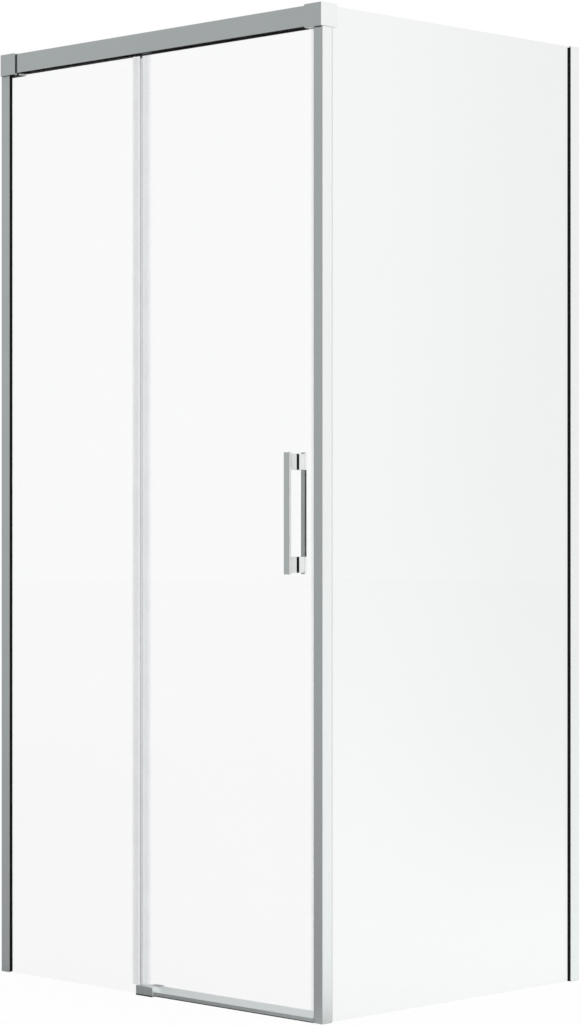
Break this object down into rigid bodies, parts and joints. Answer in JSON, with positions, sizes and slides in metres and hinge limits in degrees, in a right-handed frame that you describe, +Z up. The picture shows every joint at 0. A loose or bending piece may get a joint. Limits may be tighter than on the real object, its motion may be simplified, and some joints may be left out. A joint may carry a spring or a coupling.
{
  "type": "corner shower enclosure with sliding door",
  "caption": "Corner shower enclosure: a fixed glass pane, a glass door that slides behind it on rollers in a head rail, and a frameless side pane held by a corner post.",
  "frame": {"origin": "middle of the footprint, on the floor", "axes": "+X right along the front seen from outside, +Y from the front towards the back wall, +Z up; the left edge and the back edge meet the walls"},
  "size_m": [1, 0.814, 2.041],
  "materials": {
    "clear_glass": "clear tempered glass, polished edges",
    "satin_aluminium": "satin silver anodised",
    "mill_aluminium": "plain mill finish",
    "cap_satin": "satin silver, fine grain",
    "handle_satin": "satin brushed",
    "black_rubber": "matt black",
    "clear_seal": "clear flexible, slightly milky",
    "magnet_strip": "light grey magnetic strip",
    "dark_plastic": "dark grey moulded",
    "nylon": "dark moulded nylon",
    "slide_pad": "white low-friction strip",
    "steel": "bright plated steel"
  },
  "bodies": {
    "frame": {"corner_post": "satin_aluminium", "corner_post_magnet": "magnet_strip", "corner_post_screw": "steel", "door_guide_body": "nylon", "door_guide_cover": "cap_satin", "door_guide_pads": "slide_pad", "door_guide_screw": "steel", "door_guide_sleeve": "nylon", "door_stop_buffers": "black_rubber", "door_stops": "nylon", "fixed_glass": "clear_glass", "fixed_glass_edge_seal": "clear_seal", "front_gasket_inner": "black_rubber", "front_gasket_outer": "black_rubber", "head_rail": "satin_aluminium", "head_rail_corner_cap": "cap_satin", "head_rail_glazing_strip": "black_rubber", "head_rail_infill_strip": "black_rubber", "head_rail_joint": "dark_plastic", "head_rail_screws": "steel", "head_rail_wall_cap": "cap_satin", "head_rail_wall_cap_screw": "steel", "post_gasket_inner": "black_rubber", "post_gasket_outer": "black_rubber", "side_gasket_inner": "black_rubber", "side_gasket_outer": "black_rubber", "side_glass": "clear_glass", "threshold_bar": "satin_aluminium", "wall_channel_front": "mill_aluminium", "wall_channel_side": "mill_aluminium", "wall_profile_front": "satin_aluminium", "wall_profile_front_screws": "steel", "wall_profile_side": "satin_aluminium", "wall_profile_side_cap": "cap_satin", "wall_profile_side_screws": "steel"},
    "door": {"door_glass": "clear_glass", "door_overlap_seal": "clear_seal", "door_closing_seal": "clear_seal", "door_bottom_seal": "clear_seal", "handle_outer_bar": "handle_satin", "handle_inner_bar": "handle_satin", "handle_outer_standoffs": "handle_satin", "handle_inner_standoffs": "handle_satin", "handle_sleeves": "black_rubber", "handle_studs": "steel", "handle_grub_screws": "steel", "roller_bolts": "steel", "roller_nuts": "steel", "roller_bushes": "nylon", "roller_spacers": "nylon", "roller_bearing_rings": "steel"},
    "roller_left": {"roller_left_tyre": "nylon", "roller_left_bearing": "steel"},
    "roller_right": {"roller_right_tyre": "nylon", "roller_right_bearing": "steel"}
  },
  "joints": [
    {"name": "door_slide", "type": "slide", "parent": "frame", "child": "door", "axis": [-1, 0, 0], "range_m": [0, 0.36]},
    {"name": "roller_left_spin", "type": "hinge", "parent": "door", "child": "roller_left", "pos_m": [-0.0137, -0.3714, 2.0175], "axis": [0, 1, 0], "continuous": true},
    {"name": "roller_right_spin", "type": "hinge", "parent": "door", "child": "roller_right", "pos_m": [0.404, -0.3714, 2.0175], "axis": [0, 1, 0], "continuous": true}
  ],
  "couplings": [
    {"joint": "roller_left_spin", "follows": "door_slide", "rad_per_m": -95.694},
    {"joint": "roller_right_spin", "follows": "door_slide", "rad_per_m": -95.694}
  ]
}
